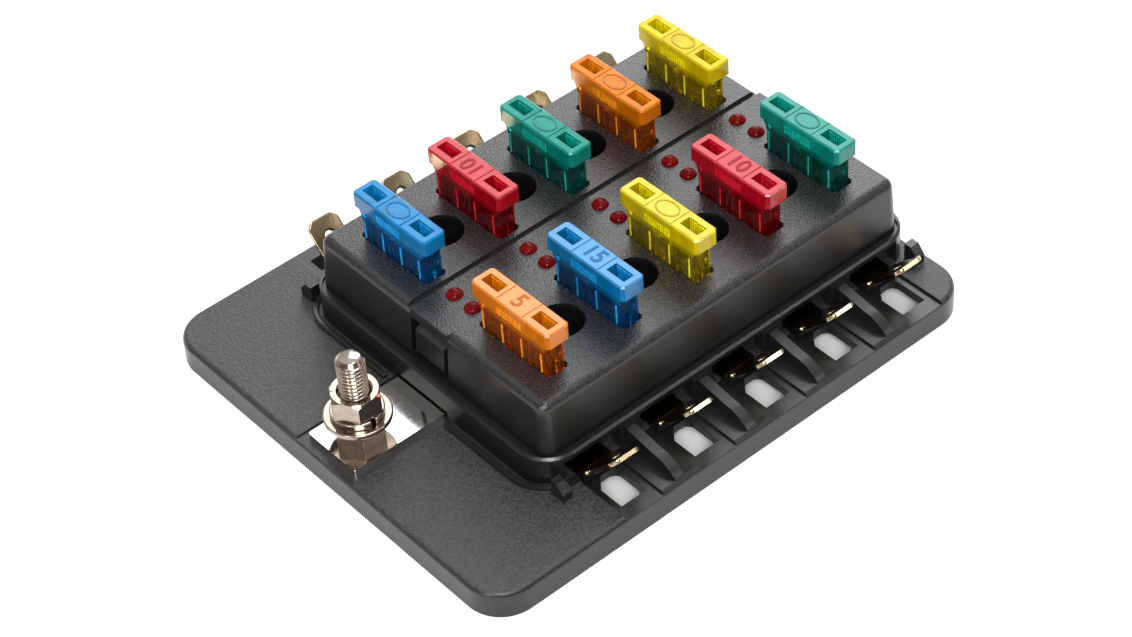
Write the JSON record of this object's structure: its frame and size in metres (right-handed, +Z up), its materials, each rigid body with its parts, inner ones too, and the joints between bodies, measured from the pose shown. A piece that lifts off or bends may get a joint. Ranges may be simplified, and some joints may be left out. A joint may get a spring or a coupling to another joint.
{
  "type": "blade fuse block",
  "caption": "Ten-way automotive blade fuse block with a threaded supply stud, indicator lamps, coloured plug-in fuses and angled output tabs",
  "frame": {"origin": "middle of the base plate outline, on the surface it stands on", "axes": "+X along the long side away from the supply stud, +Y across towards row b, +Z up"},
  "size_m": [0.1064, 0.0884, 0.0307],
  "materials": {
    "black_plastic": "moulded black nylon, fine texture",
    "nickel_plate": "bright nickel plated brass strip",
    "tab_nickel": "nickel plated brass",
    "stud_steel": "bright nickel plated steel",
    "screw_steel": "zinc plated steel",
    "board_laminate": "green solder mask",
    "resistor_black": "chip resistor",
    "lamp_red": "clear red epoxy, unlit",
    "fuse_metal": "tin plated zinc sheet",
    "fuse_orange": "translucent coloured plastic",
    "fuse_blue": "translucent coloured plastic",
    "fuse_yellow": "translucent coloured plastic",
    "fuse_red": "translucent coloured plastic",
    "fuse_teal": "translucent coloured plastic"
  },
  "bodies": {
    "block": {"base_plate": "black_plastic", "fuse_housing": "black_plastic", "busbar": "nickel_plate", "circuit_board": "board_laminate", "resistors": "resistor_black", "housing_screws": "screw_steel", "stud": "stud_steel", "lower_nut": "stud_steel", "flat_washer": "stud_steel", "lamp_a1": "lamp_red", "lamp_a2": "lamp_red", "lamp_a3": "lamp_red", "lamp_a4": "lamp_red", "lamp_a5": "lamp_red", "lamp_b1": "lamp_red", "lamp_b2": "lamp_red", "lamp_b3": "lamp_red", "lamp_b4": "lamp_red", "lamp_b5": "lamp_red", "output_terminal_a1": "tab_nickel", "output_terminal_a2": "tab_nickel", "output_terminal_a3": "tab_nickel", "output_terminal_a4": "tab_nickel", "output_terminal_a5": "tab_nickel", "output_terminal_b1": "tab_nickel", "output_terminal_b2": "tab_nickel", "output_terminal_b3": "tab_nickel", "output_terminal_b4": "tab_nickel", "output_terminal_b5": "tab_nickel"},
    "lock_washer_body": {"lock_washer": "stud_steel"},
    "upper_nut_body": {"upper_nut": "stud_steel"},
    "fuse_a1": {"fuse_body_a1": "fuse_orange", "fuse_element_a1": "fuse_metal"},
    "fuse_a2": {"fuse_body_a2": "fuse_blue", "fuse_element_a2": "fuse_metal"},
    "fuse_a3": {"fuse_body_a3": "fuse_yellow", "fuse_element_a3": "fuse_metal"},
    "fuse_a4": {"fuse_body_a4": "fuse_red", "fuse_element_a4": "fuse_metal"},
    "fuse_a5": {"fuse_body_a5": "fuse_teal", "fuse_element_a5": "fuse_metal"},
    "fuse_b1": {"fuse_body_b1": "fuse_blue", "fuse_element_b1": "fuse_metal"},
    "fuse_b2": {"fuse_body_b2": "fuse_red", "fuse_element_b2": "fuse_metal"},
    "fuse_b3": {"fuse_body_b3": "fuse_teal", "fuse_element_b3": "fuse_metal"},
    "fuse_b4": {"fuse_body_b4": "fuse_orange", "fuse_element_b4": "fuse_metal"},
    "fuse_b5": {"fuse_body_b5": "fuse_yellow", "fuse_element_b5": "fuse_metal"}
  },
  "joints": [
    {"name": "pull_fuse_a1", "type": "slide", "parent": "block", "child": "fuse_a1", "axis": [0, 0, 1], "range_m": [0, 0.01]},
    {"name": "pull_fuse_a2", "type": "slide", "parent": "block", "child": "fuse_a2", "axis": [0, 0, 1], "range_m": [0, 0.01]},
    {"name": "pull_fuse_a3", "type": "slide", "parent": "block", "child": "fuse_a3", "axis": [0, 0, 1], "range_m": [0, 0.01]},
    {"name": "pull_fuse_a4", "type": "slide", "parent": "block", "child": "fuse_a4", "axis": [0, 0, 1], "range_m": [0, 0.01]},
    {"name": "pull_fuse_a5", "type": "slide", "parent": "block", "child": "fuse_a5", "axis": [0, 0, 1], "range_m": [0, 0.01]},
    {"name": "pull_fuse_b1", "type": "slide", "parent": "block", "child": "fuse_b1", "axis": [0, 0, 1], "range_m": [0, 0.01]},
    {"name": "pull_fuse_b2", "type": "slide", "parent": "block", "child": "fuse_b2", "axis": [0, 0, 1], "range_m": [0, 0.01]},
    {"name": "pull_fuse_b3", "type": "slide", "parent": "block", "child": "fuse_b3", "axis": [0, 0, 1], "range_m": [0, 0.01]},
    {"name": "pull_fuse_b4", "type": "slide", "parent": "block", "child": "fuse_b4", "axis": [0, 0, 1], "range_m": [0, 0.01]},
    {"name": "pull_fuse_b5", "type": "slide", "parent": "block", "child": "fuse_b5", "axis": [0, 0, 1], "range_m": [0, 0.01]},
    {"name": "nut_rise", "type": "slide", "parent": "block", "child": "lock_washer_body", "axis": [0, 0, 1], "range_m": [0, 0.0064]},
    {"name": "nut_turn", "type": "hinge", "parent": "lock_washer_body", "child": "upper_nut_body", "pos_m": [-0.04505, 0, 0.0143], "axis": [0, 0, 1], "range_deg": [0, 2880]}
  ],
  "couplings": [
    {"joint": "nut_turn", "follows": "nut_rise", "rad_per_m": 7854}
  ]
}
